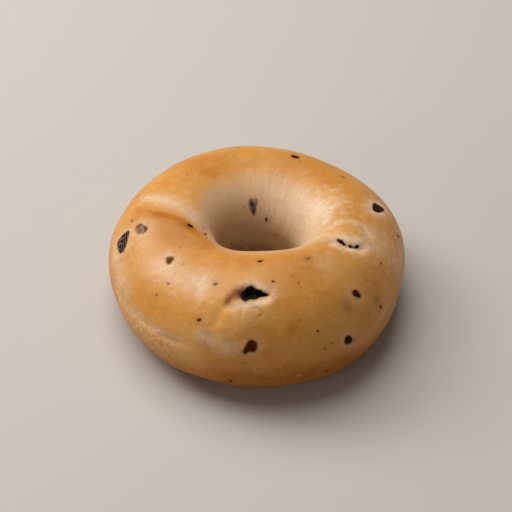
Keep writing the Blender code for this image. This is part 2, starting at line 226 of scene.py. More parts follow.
# Colour washes on the crust: the tint, the path of (bearing, roll), the half width in millimetres
# and the strength.
Wash = namedtuple("Wash", "tint path width strength")
WASHES = (
    # The fold on the left.
    Wash("pale", ((157, 36), (160, 55), (162, 71), (164, 86), (168, 98), (173, 112), (181, 126)),
         2.6, 0.5),
    Wash("pale", ((158, 44), (160, 56), (162, 68), (163, 80), (165, 92)), 0.9, 0.55),
    Wash("pale", ((164, 81), (167, 90), (173, 102), (183, 117), (193, 124)), 1, 0.65),
    Wash("toasted_and_shade", LEFT_FOLD, 1.3, 0.85),
    Wash("toasted_and_shade", ((169, 60), (177, 71), (185, 81), (198, 90), (212, 96), (232, 96)), 5.5, 0.85),
    Wash("baked", ((171, 64), (175, 74), (180, 84), (187, 95), (194, 104)), 2.2, 0.38),
    Wash("toasted_and_shade", ((167, 46), (170, 60), (172.5, 72), (177, 84), (183, 96)), 2.8, 0.65),
    Wash("baked", ((169, 70), (174, 86), (179, 101), (187, 120)), 0.8, 0.45),
    # Painted shade on the fold's band, darker where it turns towards the hole.
    Wash("stain_and_shade", ((167, 94), (172, 106), (178, 118), (185, 130)), 2.6, 0.25),
    # The fold on the right, and the arc of the swelling beside it.
    Wash("pale", ((327, 99), (333, 86), (336, 74), (340, 64), (343, 55)), 1.7, 0.75),
    Wash("pale", ((337, 95), (338, 83), (338, 76), (340, 68)), 1.2, 0.6),
    Wash("pale", ((348, 110), (354, 104), (357, 95), (357, 85), (356, 76), (353, 68), (346, 60)),
         1.4, 0.5),
    # The crease low on the left.
    Wash("pale", ((191, 10), (200, 10), (208, 11), (216, 13), (223, 14), (230, 15), (237, 15),
                  (246, 16)), 2.2, 0.62),
    # Painted shade in the core of the crease.
    Wash("stain_and_shade", ((227, 14), (231, 15.5), (235, 16.5), (240, 17.5)), 0.8, 0.75),
    Wash("toasted_and_shade", ((198, 36), (205, 34), (213, 33), (223, 33), (233, 33), (243, 30)), 6, 0.28),
    Wash("pale", ((182, 21), (189, 24), (196, 25), (203, 24), (211, 22)), 4.8, 0.4),
    # Painted light, paler low on the left.
    Wash("pale", ((190, -8), (203, -8), (217, -4), (230, 1), (240, 4)), 4.6, 0.16),
    # The slit round the front berry, with the crease and the swelling below it. Its dark red tail is
    # berry juice with painted shade in the slit.
    Wash("pale", ((257, 56), (262, 57), (267, 56), (272, 58), (276, 61)), 1.1, 0.68),
    Wash("pale", ((263, 72), (268, 73), (272, 70), (276, 67)), 1, 0.7),
    # Painted shade greying the lip below the front berry.
    Wash("stain_and_shade", ((254, 55), (258, 56.5), (262, 57.5), (266, 57.5), (271, 59)), 1.4, 0.48),
    Wash("reddened", ((253.5, 53), (254.8, 58.5), (256, 62), (258, 64.7), (261, 66.5), (266, 67)),
         1.4, 0.9),
    Wash("reddened", ((256.5, 62.5), (258.5, 65), (261, 67), (266, 68), (270, 68)), 2.4, 0.95),
    Wash("juice_and_shade", ((257.6, 64), (259.5, 66.5), (262, 68), (266, 69)), 1.2, 0.8),
    Wash("juice_and_shade", ((258.8, 64.5), (261, 66.5), (264, 67.5), (268, 68)), 1.9, 0.9),
    Wash("reddened", ((261.9, 57), (262.9, 52), (262.6, 49), (263.9, 43.5)), 0.6, 0.42),
    Wash("reddened", ((260.5, 54), (261.6, 51.5), (263.5, 50), (265, 47)), 0.6, 0.5),
    Wash("reddened", ((265.5, 52.5), (269.6, 54), (271.6, 51.5), (271.8, 49), (268, 46.5)),
         0.6, 0.65),
    # Patches. The first is painted shade low in the hole.
    Wash("baked", ((152, 190), (132, 194), (107, 197), (82, 195), (56, 188)), 4, 0.62),
    # Painted light, lighter gold low on the left.
    Wash("golden_light", ((196, 0), (206, 3), (217, 5), (228, 7), (236, 8), (245, 8), (254, 7)), 5.6, 0.9),
    Wash("pale", ((243, 31), (248, 29), (253, 26), (258, 23), (264, 19)), 3.2, 0.45),
    # Painted sheen on the right side.
    Wash("pale", ((369, 31), (361, 26), (352, 24), (343, 20)), 3, 0.4),
    # Painted sheen on the left shoulder.
    Wash("pale", ((198, 50), (211, 61), (223, 64), (235, 66), (247, 67)), 5, 0.46),
    Wash("toasted_and_shade", ((226, 91), (238, 91), (250, 92), (265, 92), (288, 87), (308, 82), (324, 78)),
         5.8, 0.65),
    Wash("toasted_and_shade", ((272, 84), (284, 86), (300, 87), (316, 87), (328, 85)), 4.8, 0.46),
    Wash("toasted_and_shade", ((30, 90), (45, 92), (63, 95), (80, 94)), 5.4, 0.64),
    # Darker and browner low at the front: partly browner baking, partly painted shade.
    Wash("toasted_and_shade", ((250, -10), (262, -8), (275, -6), (290, -8), (303, -6)), 6, 0.6),
    Wash("baked", ((246, -12), (262, -10), (275, -8), (290, -10), (304, -8), (314, -8)), 4.8, 0.72),
    Wash("pale", ((268.6, 0.4), (269.1, 3.2), (270.3, 4.2), (271.5, 3.2), (271.9, 0.4), (271.3, -2),
                  (270.3, -2.8), (269.2, -2), (268.6, 0.4), (269.1, 3.2)), 0.4, 0.28),
    # Painted sheen along the right edge.
    Wash("pale", ((358, 43), (353, 38), (349, 34), (345, 28), (340, 22)), 1, 0.3),
    # Painted sheen along the low right rim.
    Wash("pale", ((303, -3), (313, 0), (323, 7), (333, 12)), 2.2, 0.17),
    Wash("toasted_and_shade", ((139, 50), (132, 60), (120, 80)), 6, 0.3),
    Wash("toasted_and_shade", ((130, 91), (118, 91), (104, 91)), 5, 0.4),
    Wash("toasted_and_shade", ((133, 90), (128, 95), (124, 100), (120, 107)), 2.6, 0.6),
    Wash("toasted_and_shade", ((40, 62), (60, 70), (85, 74)), 6, 0.35),
)

# Round marks of each tint: bearing, roll, radius in millimetres and strength.
Mark = namedtuple("Mark", "bearing roll radius strength")
MARKS = {
    # Painted light: lighter gold on the swellings, below the front berry and in the hole.
    "golden_light": (
        Mark(250.5, 47, 5.2, 0.7), Mark(44, 180, 5.5, 0.3), Mark(271, 51, 4.4, 0.85),
        Mark(347, 86, 3.6, 0.55), Mark(262, 41, 4, 0.6),
    ),
    "reddened": (
        Mark(58.6, 174.5, 0.7, 0.45), Mark(170.6, 142, 0.8, 0.4), Mark(325.6, 92.4, 0.8, 0.4),
    ),
    "toasted_and_shade": (
        Mark(180, 81, 5, 0.9), Mark(192, 84, 6.2, 0.8), Mark(283.5, 36, 2.3, 0.9),
        Mark(272.8, 20, 2, 0.7), Mark(347, 87, 3.6, 0.2), Mark(5, 53, 4.2, 0.3),
    ),
    "stain_and_shade": (
        Mark(308.1, 42.3, 2.2, 0.4), Mark(323.4, 28.9, 1.8, 0.35),
        Mark(328, 50, 7.5, 0.16), Mark(249.4, 31.3, 1.8, 0.45), Mark(257.5, 28, 1.4, 0.35),
        Mark(232.3, 17.5, 1.4, 0.4), Mark(250.4, 19.1, 1.3, 0.45), Mark(244.7, 70.7, 1.4, 0.4),
        Mark(353.2, 55, 1.4, 0.35), Mark(247, 20.1, 1.3, 0.4), Mark(172.5, 53.9, 1, 0.6),
        Mark(174.6, 50, 0.7, 0.6), Mark(191.6, 30.1, 1, 0.35),
    ),
    "baked": (
        Mark(309.5, 37.5, 2, 0.55), Mark(323.6, 28, 1.6, 0.5),
    ),
    "pale": (
        # Painted glints: the first on the back crest, the other two on blisters.
        Mark(57.7, 95.3, 0.6, 0.5), Mark(278.4, 2.4, 0.5, 0.9), Mark(285.4, -10.3, 0.6, 0.6),
        # The first two are painted sheen, on the right crest and low on the right side.
        Mark(348.4, 59.1, 7, 0.6), Mark(346, 31, 4.4, 0.24), Mark(183, 30, 3.4, 0.3),
        # The middle one is painted light on the swelling below the front berry, the last painted sheen
        # on the left shoulder.
        Mark(313.4, 79.5, 5.5, 0.25), Mark(265, 53, 4.8, 0.26), Mark(190, 57, 5.6, 0.2),
        Mark(339.9, 109.3, 3.5, 0.45), Mark(350.8, 108.7, 3, 0.3),
        Mark(336.6, 79.6, 0.8, 0.8), Mark(337.5, 75, 1, 0.85), Mark(333.7, 76.5, 0.8, 0.6),
        # The last is a painted highlight on the hole's right wall.
        Mark(239.7, 67, 5.5, 0.3), Mark(18.9, 118.7, 7.5, 0.95),
    ),
}

# Blisters on the crust: bearing, roll, radius and height in millimetres, and their shape.
Blister = namedtuple("Blister", "bearing roll radius height")
BLISTERS = (
    Blister(270.3, 0.7, 1.6, 0.24),
    Blister(217.3, 0, 1, 0.2),
    Blister(221.1, -0.1, 0.9, 0.2),
    Blister(226, -3.6, 1.1, 0.2),
    Blister(231.9, -7.4, 1, 0.18),
    Blister(229.8, 7.3, 0.9, 0.18),
    Blister(278.4, 2.4, 0.7, 0.4),
    Blister(285.4, -10.3, 0.7, 0.36),
)
BLISTER_RIM = 0.8
BLISTER_RIM_WIDTH = 0.22
BLISTER_TOP = 0.35

# Where the broad tints begin and are full, and where some fall and are gone, in degrees.
HOLLOW_ROLLS = (98, 130, 215, 262)
# Painted shade deep in the hole.
DEEP_SHADE_ROLLS = (132, 176)
STREAK_ROLLS = (92, 114, 150, 190)
STREAK_BEARINGS = (-40, 5, 75, 115)
# The rim darker and browner towards the base: partly browner baking, partly painted shade.
RIM_ROLLS = (26, -20)
BAKED_AND_SHADE_ROLLS = (8, -32)
BAKED_AND_SHADE_RIM = 0.55
BLISTERED_ROLLS = (30, 5)
BLISTERED_BEARINGS = (178, 196, 230, 250)
TINT_CLOUDS = (0.0022, 0.009)
EDGE_RAGGED = 0.5
WASH_FADE = 0.2

# The relief of the fruit, and the sides and bottom of a piece under the crust.
FRUIT_RINGS = 12
FRUIT_DOME = 0.0003
FRUIT_WRINKLE = 0.00014
WRINKLE_SCALE = 0.0012
LUMP_FLARE = 0.0001
SIDE_DEPTH = 0.0005
BOTTOM_DEPTH = 0.0012
ROOT_DEPTH = 0.0014
RAY_START = 0.004
RAY_LENGTH = 0.012
RIB_AXIS = (0.79, -0.61)
RIB_MIDDLE = -1.3
RIB_SLANTS = (1.7, -0.6)
RIB_PITCH = 2.1
RIB_HEIGHT = 0.0001
SPECK_SPOKES = 14
SPECK_RINGS = 3
SPECK_UNEVENNESS = 0.35
SPECK_RECESS = 0.00002
SPECK_DOME = 0.00007

# Colours are linear.
TINTS = ("pale", "toasted_and_shade", "baked", "golden_light", "stain_and_shade", "reddened", "juice_and_shade", "hollow", "deep",
         "streaked", "blistered")
GOLD = (0.7, 0.315, 0.064)
AMBER = (0.61, 0.235, 0.03)
STRAW = (0.78, 0.43, 0.16)
# Pale dough, also used for painted sheen and glints.
PALE = (0.86, 0.65, 0.44)
# Browns of the baked crust, also used for painted shade low on the rim, in the hole and between the
# bubbles.
TOASTED_AND_SHADE = (0.56, 0.195, 0.011)
BAKED_AND_SHADE = (0.34, 0.105, 0.006)
# A lighter gold for painted light.
GOLDEN_LIGHT = (0.82, 0.41, 0.11)
# Grey of fruit stains under the skin, also used for painted shade in folds, creases and below the front
# berry.
STAIN_AND_SHADE = (0.32, 0.18, 0.105)
REDDENED = (0.34, 0.105, 0.022)
# Dark red of berry juice, also used for painted shade in the slit beside the front berry.
JUICE_AND_SHADE = (0.12, 0.028, 0.01)
HOLLOW = (0.74, 0.485, 0.285)
# Painted shade deep in the hole.
DEEP_SHADE = (0.6, 0.42, 0.25)
FRECKLE = (0.3, 0.1, 0.02)
TAIL = (0.085, 0.018, 0.01)
CRUMB_BROWN = (0.15, 0.055, 0.018)
SMOKE = (0.33, 0.22, 0.15)

# Tints laid over the crust, in order: the colour, and its strength where the mottling is weakest.
LAID_TINTS = (
    ("toasted_and_shade", TOASTED_AND_SHADE, 0.75), ("baked", BAKED_AND_SHADE, 0.8), ("golden_light", GOLDEN_LIGHT, 0.8), ("pale", PALE, 0.65),
    ("stain_and_shade", STAIN_AND_SHADE, 0.6), ("reddened", REDDENED, 0.8), ("juice_and_shade", JUICE_AND_SHADE, 0.8),
)
CLOUD_SCALES = (65, 330, 1500)
STREAK_SCALES = (15, 15, 1.6)
FRECKLE_SCALE = 170
BUBBLE_SCALE = 780
BUMP_STRENGTH = 0.35
BUMP_DEPTH = 0.00015
CRUST_ROUGHNESS = 0.42
ROUGHNESS_ENDS = (0.36, 0.5)
CRUST_SHINE = 0.28
SMOKY_CORES = ((0.5, -1.1), (-0.3, 1.5))

# The looks of fruit: two colours, the share that the lighter one takes, roughness, how much the
# surface shines and what it is marked with.
Look = namedtuple("Look", "deep light lit roughness shine marks", defaults=(None,))
LOOKS = {
    "slit_berry": Look((0.003, 0.001, 0.001), (0.012, 0.004, 0.004), 0.2, 0.22, 0.04, "tail"),
    "ribbed_berry": Look((0.016, 0.004, 0.003), (0.28, 0.165, 0.13), 0, 0.45, 0.03, "ribs"),
    "violet_fruit": Look((0.25, 0.13, 0.085), (0.42, 0.26, 0.19), 0.6, 0.5, 0.03, "patch"),
    "brown_fruit": Look((0.16, 0.045, 0.007), (0.36, 0.155, 0.048), 0.45, 0.5, 0.03),
    "red_fruit": Look((0.065, 0.01, 0.002), (0.14, 0.028, 0.006), 0.35, 0.42, 0.03),
    "dark_fruit": Look((0.04, 0.009, 0.002), (0.095, 0.026, 0.008), 0.3, 0.42, 0.03),
    "black_fruit": Look((0.02, 0.005, 0.001), (0.06, 0.02, 0.006), 0.15, 0.4, 0.02),
    "parted_fruit": Look((0.02, 0.005, 0.001), (0.06, 0.02, 0.006), 0.15, 0.4, 0.02, "gap"),
    "smoky_fruit": Look((0.04, 0.02, 0.013), (0.1, 0.06, 0.04), 0.4, 0.55, 0.02, "soft"),
    "veiled_fruit": Look((0.25, 0.1, 0.045), (0.4, 0.19, 0.09), 0.5, 0.5, 0.03),
}
SPECK_LOOKS = HIDDEN_LOOKS + ("black_fruit",)

# The camera, as the photograph was taken.
LENS_MM = 90
SENSOR_MM = 36
CAMERA_ELEVATION = 46.5
CAMERA_DISTANCE = 0.48108
AIM_HEIGHT = 0.018
SHIFT_X = -0.0042
SHIFT_Y = 0.0063

# Light: bearing and elevation of where it comes from, distance and size in metres, power in watts.
Lamp = namedtuple("Lamp", "name bearing elevation distance size power colour")
LAMPS = (
    Lamp("high key", 118, 66, 1.2, 1.1, 11, (1, 0.98, 0.95)),
    Lamp("low key", 152, 38, 1.2, 0.55, 5.5, (1, 0.98, 0.95)),
    Lamp("left fill", 212, 14, 1.2, 0.5, 1.8, (1, 0.96, 0.9)),
    Lamp("right fill", 335, 18, 1.2, 0.6, 0.8, (1, 0.92, 0.82)),
)
SKY_COLOUR = (1, 0.95, 0.88)
SKY_STRENGTH = 0.09
FLOOR_COLOUR = (0.6, 0.565, 0.53)
FLOOR_SIZE = 3


def swollen(mean, swells, bearing):
    """A size that varies round the ring. Bearings are in radians here and below."""
    total = mean
    for waves, amplitude, high in swells:
        total = total + amplitude * np.cos(waves * (bearing - math.radians(high)))
    return total


def smooth_point(bearing, roll):
    """Points of the ring without its folds, for arrays of bearings and rolls in radians."""
    outer = swollen(OUTER_RADIUS, OUTER_SWELLS, bearing)
    crest = swollen(CREST_RADIUS, CREST_SWELLS, bearing)
    hole = swollen(HOLE_RADIUS, HOLE_SWELLS, bearing)
    height = swollen(HEIGHT, HEIGHT_SWELLS, bearing)
    across, up = np.cos(roll), np.sin(roll)
    belly = height * np.where(across > 0, BELLY_SHARE, WAIST_SHARE)
    in_hole = swollen(HOLE_SQUARENESS, HOLE_SQUARENESS_SWELLS, bearing)
    upper = np.where(across > 0, UPPER_SQUARENESS, in_hole)
    power = 2 / np.where(up > 0, upper, LOWER_SQUARENESS)
    across = np.sign(across) * np.abs(across) ** power
    up = np.sign(up) * np.abs(up) ** power
    radius = crest + across * np.where(across > 0, outer - crest, crest - hole)
    level = belly + up * np.where(up > 0, height - belly, belly * (1 + FLATTENED_SHARE))
    return np.stack([RING_CENTRE_X + radius * np.cos(bearing),
                     RING_CENTRE_Y + radius * np.sin(bearing), level], axis=-1)


def centre_of(spot):
    """Where the ring's surface is at the bearing and roll of a mound, mark, blister or speck."""
    return smooth_point(math.radians(spot.bearing), math.radians(spot.roll))


def distances_to(spot, points):
    return np.linalg.norm(points - centre_of(spot), axis=1)


def smooth_normal(bearing, roll):
    step = 1e-3
    along = smooth_point(bearing + step, roll) - smooth_point(bearing - step, roll)
    around = smooth_point(bearing, roll + step) - smooth_point(bearing, roll - step)
    normal = np.cross(along, around)
    return normal / np.linalg.norm(normal, axis=-1, keepdims=True)


def smoothstep(low, high, value):
    t = np.clip((value - low) / (high - low), 0, 1)
    return t * t * (3 - 2 * t)


def band(low, full, falling, gone, value):
    """1 from full to falling, easing to 0 at low and at gone."""
    return smoothstep(low, full, value) * smoothstep(gone, falling, value)


def travelled(line):
    """How far along a line each of its points lies."""
    return np.concatenate([[0], np.cumsum(np.linalg.norm(np.diff(line, axis=0), axis=1))])


def curve_through(points, count):
    """A smooth curve (Catmull-Rom) through a few points, as count points along it."""
    points = np.asarray(points, float)
    padded = np.vstack([2 * points[0] - points[1], points, 2 * points[-1] - points[-2]])
    along = np.linspace(0, len(points) - 1, count)
    first = np.minimum(along.astype(int), len(points) - 2)
    t = (along - first)[:, None]
    a, b, c, d = (padded[first + k] for k in range(4))
    return 0.5 * (2 * b + (c - a) * t + (2 * a - 5 * b + 4 * c - d) * t**2
                  + (3 * b - a - 3 * c + d) * t**3)


def path_line(path):
    """A path of (bearing, roll) as points on the ring, and its unit heading at each."""
    path = np.radians(curve_through(path, CREASE_SAMPLES))
    line = smooth_point(path[:, 0], path[:, 1])
    heading = np.gradient(line, axis=0)
    return line, heading / np.linalg.norm(heading, axis=1, keepdims=True)


def from_path(path, points, normals):
    """Each point's distance from a path, on which side it is, and how far along it lies."""
    line, heading = path_line(path)
    away = points[:, None, :] - line[None, :, :]
    nearest = np.argmin((away**2).sum(axis=2), axis=1)
    away, heading = away[np.arange(len(points)), nearest], heading[nearest]
    ahead = np.einsum("ij,ij->i", away, heading)
    spacing = np.linalg.norm(line[1:] - line[:-1], axis=1).mean()
    share = np.clip((nearest + ahead / spacing) / (CREASE_SAMPLES - 1), 0, 1)
    beyond_ends = ((nearest == 0) & (ahead < 0)) | ((nearest == CREASE_SAMPLES - 1) & (ahead > 0))
    away = away - np.where(beyond_ends, 0, ahead)[:, None] * heading
    side = np.einsum("ij,ij->i", np.cross(normals, heading), away)
    return np.linalg.norm(away, axis=1), np.sign(side), share


def near_path(path, points, margin):
    """Which points lie in the box round a path, made larger by a margin."""
    line = path_line(path)[0]
    return ((points > line.min(axis=0) - margin) & (points < line.max(axis=0) + margin)).all(axis=1)


def crease_relief(crease, points, normals):
    """How far one crease moves each point along its normal."""
    distance, side, share = from_path(crease.path, points, normals)
    fade = band(0, CREASE_FADE, 1 - CREASE_FADE, 1, share)
    groove = -crease.depth * np.exp(-((distance / crease.width) ** 2))
    beyond = (distance - 1.5 * crease.width) / crease.reach
    lip = np.where(side * crease.lip > 0, abs(crease.lip) * np.exp(-(beyond**2)), 0)
    lip *= smoothstep(0, 1.5 * crease.width, distance)
    return fade * (groove + lip)


def crust_point(bearing, roll):
    """Points of the crust, folds included, for one-dimensional arrays in radians."""
    points = smooth_point(bearing, roll)
    normals = smooth_normal(bearing, roll)
    relief = np.array([UNEVENNESS * noise.noise(Vector(p) / UNEVEN_SCALE) for p in points])
    for crease in CREASES + FINE_CREASES:
        near = near_path(crease.path, points, 3 * (crease.width + crease.reach))
        relief[near] += crease_relief(crease, points[near], normals[near])
    for mound in MOUNDS:
        relief += mound.height * np.exp(-((distances_to(mound, points) / mound.radius) ** 2))
    relief *= smoothstep(0, SMOOTH_NEAR_BASE, points[:, 2])
    points = points + normals * relief[:, None]
    points[:, 2] = np.maximum(points[:, 2], 0)
    return points


def row_rolls():
    """The roll of each row of the crust's mesh: evenly over the crest, then under the flat base."""
    edge = math.asin((1 + FLATTENED_SHARE) ** (-LOWER_SQUARENESS / 2))
    rolls = np.linspace(-edge, math.pi + edge, SECTION_SAMPLES)
    along = travelled(smooth_point(0 * rolls, rolls))
    crust = np.interp(np.linspace(0, along[-1], TUBE_ROWS + 1), along, rolls)
    base = np.linspace(math.pi + edge, 2 * math.pi - edge, BASE_ROWS + 1)[1:]
    return np.concatenate([crust, base])


def surface_frame(bearing, roll):
    """The place and axes at a place on the crust: X along the ring, Y up the roll, Z out."""
    nudge = math.radians(0.5)
    at = np.radians([[bearing, roll]] * 3) + [[0, 0], [nudge, 0], [0, nudge]]
    here, onward, upward = (Vector(p) for p in crust_point(at[:, 0], at[:, 1]))
    along = (onward - here).normalized()
    out = along.cross(upward - here).normalized()
    axes = Matrix((along, out.cross(along), out)).transposed().to_4x4()
    return Matrix.Translation(here) @ axes


def outline_distance(places, corners):
    """Signed distance of 2-D places from a closed outline, negative inside."""
    corners = np.asarray(corners, float)
    ends = np.roll(corners, -1, axis=0)
    edge = ends - corners
    away = places[:, None, :] - corners[None, :, :]
    t = np.clip((away * edge).sum(axis=2) / (edge**2).sum(axis=1), 0, 1)
    distance = np.linalg.norm(away - t[..., None] * edge, axis=2).min(axis=1)
    above = (corners[None, :, 1] > places[:, None, 1]) != (ends[None, :, 1] > places[:, None, 1])
    rise = np.where(edge[:, 1] == 0, 1e-12, edge[:, 1])
    crossing = corners[:, 0] + (places[:, None, 1] - corners[:, 1]) * edge[:, 0] / rise
    inside = (above & (places[:, None, 0] < crossing)).sum(axis=1) % 2 == 1
    return np.where(inside, -distance, distance)


def blister_relief(blister, points):
    """A flat-topped bubble with a raised rim."""
    share = distances_to(blister, points) / (blister.radius * MM)
    rim = np.exp(-(((share - BLISTER_RIM) / BLISTER_RIM_WIDTH) ** 2))
    return blister.height * MM * (rim + BLISTER_TOP * smoothstep(1, 0.5, share))


def fruit_outline(fruit):
    """A piece's outline in metres, with its corners cut a little and its edge ragged."""
    corners = np.array(fruit.outline) * MM
    before, after = np.roll(corners, 1, axis=0), np.roll(corners, -1, axis=0)
    kept = corners * (1 - CORNER_CUT)
    cut = np.stack([kept + before * CORNER_CUT, kept + after * CORNER_CUT], axis=1)
    return ragged_outline(cut.reshape(-1, 2), fruit.bearing)


def ragged_outline(corners, seed):
    """A closed outline as many even points, each moved a little in or out."""
    closed = np.vstack([corners, corners[:1]])
    along = travelled(closed)
    wanted = np.linspace(0, along[-1], OUTLINE_POINTS, endpoint=False)
    even = np.stack([np.interp(wanted, along, closed[:, k]) for k in range(2)], axis=1)
    outward = even - even.mean(axis=0)
    outward /= np.linalg.norm(outward, axis=1, keepdims=True)
    ragged = [noise.fractal(Vector((x / RAGGED_SCALE, y / RAGGED_SCALE, seed)), 1.0, 2.0, 3)
              for x, y in even]
    return even + outward * OUTLINE_RAGGED * np.array(ragged)[:, None]


def local_places(points, place):
    """World points in a piece's own axes."""
    inverse = np.array(place.inverted())
    return points @ inverse[:3, :3].T + inverse[:3, 3]


def refined_grid():
    """A plane grid over the ring (X) and the tube (Y), each from 0 to 1, finer where detail is."""
    rows = row_rolls()
    grid = bmesh.new()
    bmesh.ops.create_grid(grid, x_segments=RING_COLUMNS, y_segments=len(rows) - 1, size=0.5)
    bmesh.ops.translate(grid, verts=grid.verts, vec=(0.5, 0.5, 0))
    fold_points = [Vector(p) for crease in CREASES for p in path_line(crease.path)[0]]
    fine_points = [Vector(p) for crease in FINE_CREASES for p in path_line(crease.path)[0]]
    fine_points += [Vector(centre_of(blister)) for blister in BLISTERS]
    fruit_points = []
    for fruit in FRUITS.values():
        place = surface_frame(fruit.bearing, fruit.roll)
        corners = fruit_outline(fruit)[::3]
        centre = corners.mean(axis=0)
        for x, y in np.concatenate([corners, (corners + centre) / 2, [centre]]):
            fruit_points.append(place @ Vector((x, y, 0)))
    passes = ((fold_points + fine_points + fruit_points, FOLD_REFINED),
              (fine_points + fruit_points, FRUIT_REFINED))
    for detail, reach in passes:
        tree = KDTree(len(detail))
        for index, point in enumerate(detail):
            tree.insert(point, index)
        tree.balance()
        faces = list(grid.faces)
        centres = np.array([face.calc_center_median() for face in faces])
        points = smooth_point(*grid_angles(centres, rows))
        near = [face for face, point in zip(faces, points) if tree.find(point)[2] < reach]
        edges = {edge for face in near for edge in face.edges}
        bmesh.ops.subdivide_edges(grid, edges=list(edges), cuts=1, use_grid_fill=True,
                                  use_single_edge=True)
    return grid, rows


def grid_angles(places, rows):
    """Bearing and roll, in radians, of places on the plane grid."""
    bearing = math.radians(SEAM_BEARING) + 2 * math.pi * places[:, 0]
    roll = np.interp(places[:, 1], np.linspace(0, 1, len(rows)), rows)
    return bearing, roll


def cloudiness(points, size):
    """Soft noise round 0, from about -1 to 1, at each point."""
    return np.array([noise.fractal(Vector(p) / size, 0.8, 2.0, 3) for p in points])


def over(below, above):
    """One amount of a tint laid over another."""
    return 1 - (1 - below) * (1 - np.clip(above, 0, 1))


def crust_tints(points, normals, bearing, roll):
    """How much of each tint every point of the crust has."""
    fine, coarse = (cloudiness(points, size) for size in TINT_CLOUDS)
    degrees = np.degrees(roll)
    tints = {name: np.zeros(len(points)) for name in TINTS}
    hollow = band(*HOLLOW_ROLLS, degrees)
    tints["hollow"] = hollow
    # Painted shade, darker deep in the hole.
    tints["deep"] = smoothstep(*DEEP_SHADE_ROLLS, degrees)
    turned = (np.degrees(bearing) + 180) % 360 - 180
    tints["streaked"] = band(*STREAK_ROLLS, degrees) * band(*STREAK_BEARINGS, turned)
    tints["blistered"] = smoothstep(*BLISTERED_ROLLS, degrees) * (1 - hollow)
    tints["blistered"] *= band(*BLISTERED_BEARINGS, turned % 360)
    # The rim darker and browner towards the base: partly browner baking, partly painted shade.
    tints["toasted_and_shade"] = smoothstep(*RIM_ROLLS, degrees) * (1 - hollow)
    tints["baked"] = BAKED_AND_SHADE_RIM * smoothstep(*BAKED_AND_SHADE_ROLLS, degrees) * (1 - hollow)
    for wash in WASHES:
        width = wash.width * MM
        near = near_path(wash.path, points, 3 * width)
        distance, _, share = from_path(wash.path, points[near], normals[near])
        ends = band(0, WASH_FADE, 1 - WASH_FADE, 1, share)
        distance = distance + width * EDGE_RAGGED * fine[near]
        amount = wash.strength * ends * np.exp(-((distance / width) ** 2))
        amount *= np.clip(1 + 0.5 * fine[near] + 0.4 * coarse[near], 0, 1.4)
        tints[wash.tint][near] = over(tints[wash.tint][near], amount)
    for tint, marks in MARKS.items():
        for mark in marks:
            share = distances_to(mark, points) * (1 + EDGE_RAGGED * fine) / (mark.radius * MM)
            tints[tint] = over(tints[tint], mark.strength * np.exp(-(share**2)))
    for speck in all_specks():
        share = distances_to(speck, points) / (speck.length * MM * SPECK_STAIN_REACH)
        stain = SPECK_STAIN * np.exp(-(share**2))
        tints["juice_and_shade"] = over(tints["juice_and_shade"], stain)
    return tints


def crust_mesh():
    """The crust as a mesh, and the tree for finding its surface before pockets."""
    grid, rows = refined_grid()
    grid.verts.ensure_lookup_table()
    places = np.array([vertex.co for vertex in grid.verts])
    bearing, roll = grid_angles(places, rows)
    points = crust_point(bearing, roll)
    normals = smooth_normal(bearing, roll)
    for blister in BLISTERS:
        points = points + normals * blister_relief(blister, points)[:, None]
    points[:, 2] = np.maximum(points[:, 2], 0)
    faces = [[vertex.index for vertex in face.verts] for face in grid.faces]
    tree = BVHTree.FromPolygons([tuple(p) for p in points], faces)
    tints = crust_tints(points, normals, bearing, roll)
    fine = cloudiness(points, HALO_CLOUDS)
    for fruit in FRUITS.values():
        place = surface_frame(fruit.bearing, fruit.roll)
        local = local_places(points, place)
        outline = fruit_outline(fruit)
        near = np.abs(local).max(axis=1) < np.abs(outline).max() + 2 * HALO_REACH
        outside = outline_distance(local[near, :2], outline)
        sunk = -POCKET_DEPTH * smoothstep(-POCKET_EDGE, -POCKET_WALL, outside)
        points[near] += sunk[:, None] * np.array(place.to_3x3().col[2])
        halo = fruit.halo * np.exp(-((outside / HALO_REACH) ** 2)) * np.clip(1 + fine[near], 0, 1.3)
        tints["pale"][near] = over(tints["pale"][near], halo)
        juice = JUICE * np.exp(-(np.maximum(outside, 0) / JUICE_REACH) ** 2)
        tints["juice_and_shade"][near] = over(tints["juice_and_shade"][near], juice * (1 - 0.5 * fruit.halo))
    layers = {name: grid.verts.layers.float.new(name) for name in TINTS}
    around = grid.verts.layers.float_vector.new("around")
    for index, vertex in enumerate(grid.verts):
        vertex.co = points[index]
        vertex[around] = (math.cos(bearing[index]), math.sin(bearing[index]), roll[index])
        for name, layer in layers.items():
            vertex[layer] = tints[name][index]
    bmesh.ops.remove_doubles(grid, verts=grid.verts, dist=WELD_DISTANCE)
    return finish_mesh(grid, "crust"), tree


def finish_mesh(made, name):
    mesh = bpy.data.meshes.new(name)
    made.to_mesh(mesh)
    made.free()
    mesh.shade_smooth()
    return mesh


def link(data, name):
    made = bpy.data.objects.new(name, data)
    bpy.context.scene.collection.objects.link(made)
    return made


def surface_height(tree, place, x, y):
    """The crust's height at X, Y in a piece's own axes, found along its Z."""
    out = place.to_3x3().col[2]
    start = place @ Vector((x, y, 0)) + out * RAY_START
    hit = tree.ray_cast(start, -out, RAY_LENGTH)[0]
    return (hit - start).dot(out) + RAY_START if hit else 0.0


def ray_reach(outline, middle, angle):
    """How far the outline is from its middle in one direction."""
    heading = np.array([math.cos(angle), math.sin(angle)])
    edge = np.roll(outline, -1, axis=0) - outline
    off = outline - middle
    cross = heading[0] * edge[:, 1] - heading[1] * edge[:, 0]
    cross = np.where(np.abs(cross) < 1e-15, 1e-15, cross)
    along = (off[:, 0] * edge[:, 1] - off[:, 1] * edge[:, 0]) / cross
    share = (off[:, 0] * heading[1] - off[:, 1] * heading[0]) / cross
    hits = along[(share >= -1e-9) & (share <= 1 + 1e-9) & (along > 0)]
    return float(hits.max()) if len(hits) else 0.0


